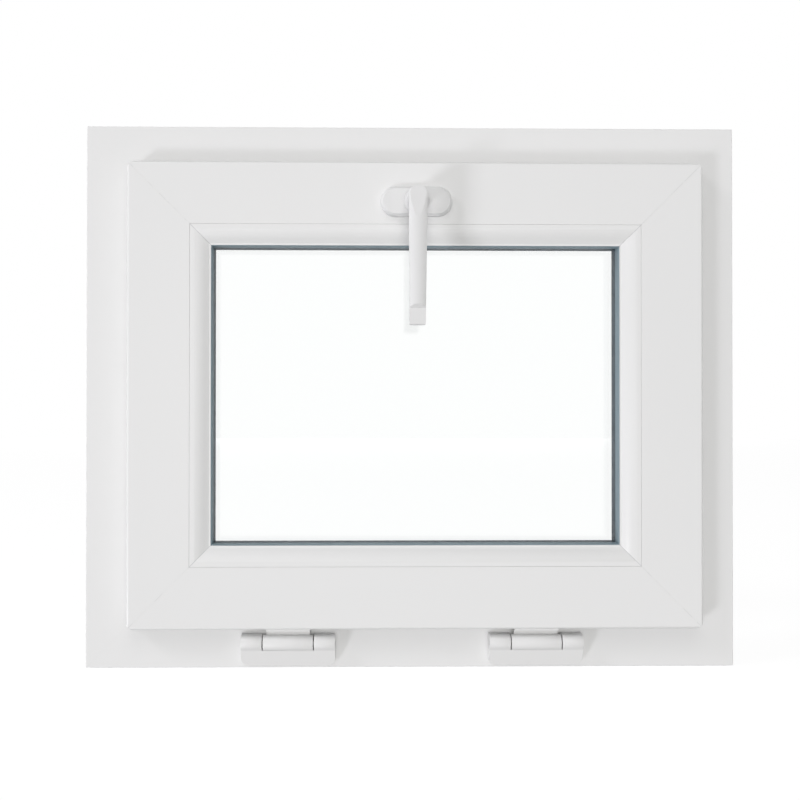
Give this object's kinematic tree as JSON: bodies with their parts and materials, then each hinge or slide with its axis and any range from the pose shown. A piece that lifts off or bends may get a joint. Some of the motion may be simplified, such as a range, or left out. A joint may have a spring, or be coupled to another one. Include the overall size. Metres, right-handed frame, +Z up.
{
  "type": "hopper window",
  "caption": "Small white bottom-hung window that tilts into the room, with a double-glazed sash, a lever handle at the top and two surface hinges along the sill.",
  "frame": {"origin": "middle of the underside of the sill, on the centre plane of the frame's depth", "axes": "+X runs right along the sill as seen from the room, -Y points into the room, +Z up"},
  "size_m": [0.6, 0.1299, 0.5],
  "materials": {
    "frame_upvc": "smooth white extruded pvc with a soft gloss",
    "seal_rubber": "black weather seal",
    "bead_seal": "pale grey soft lip along the glazing bead",
    "clear_glass": "clear float glass",
    "spacer_aluminium": "bare aluminium spacer bar",
    "edge_sealant": "dark edge sealant",
    "block_plastic": "hard plastic packer",
    "coated_metal": "white powder coat, satin",
    "zinc_steel": "zinc-plated steel"
  },
  "bodies": {
    "frame": {"frame_head": "frame_upvc", "frame_sill": "frame_upvc", "frame_jamb_left": "frame_upvc", "frame_jamb_right": "frame_upvc", "frame_seal": "seal_rubber", "drain_cap_left": "frame_upvc", "drain_cap_right": "frame_upvc", "keep_left": "zinc_steel", "keep_right": "zinc_steel", "hinge_left_frame_leaf": "coated_metal", "hinge_left_pin": "zinc_steel", "hinge_right_frame_leaf": "coated_metal", "hinge_right_pin": "zinc_steel"},
    "sash": {"sash_top_rail": "frame_upvc", "sash_bottom_rail": "frame_upvc", "sash_stile_left": "frame_upvc", "sash_stile_right": "frame_upvc", "bead_top": "frame_upvc", "bead_bottom": "frame_upvc", "bead_left": "frame_upvc", "bead_right": "frame_upvc", "sash_seal": "seal_rubber", "glazing_seal_outer": "seal_rubber", "glazing_seal_inner": "bead_seal", "pane_inner": "clear_glass", "pane_outer": "clear_glass", "spacer_bar": "spacer_aluminium", "edge_sealant": "edge_sealant", "setting_blocks": "block_plastic", "handle_rosette": "coated_metal", "hinge_left_sash_leaf": "coated_metal", "hinge_right_sash_leaf": "coated_metal", "gear_faceplate": "zinc_steel", "locking_cam_left": "zinc_steel", "locking_cam_right": "zinc_steel"},
    "handle": {"handle_lever": "coated_metal", "handle_spindle": "zinc_steel"}
  },
  "joints": [
    {"name": "sash_tilt", "type": "hinge", "parent": "frame", "child": "sash", "pos_m": [0.0007, -0.039, 0.0242], "axis": [1, 0, 0], "range_deg": [0, 30]},
    {"name": "handle_turn", "type": "hinge", "parent": "sash", "child": "handle", "pos_m": [0.0037, -0.05, 0.4275], "axis": [0, -1, 0], "range_deg": [0, 90]}
  ]
}
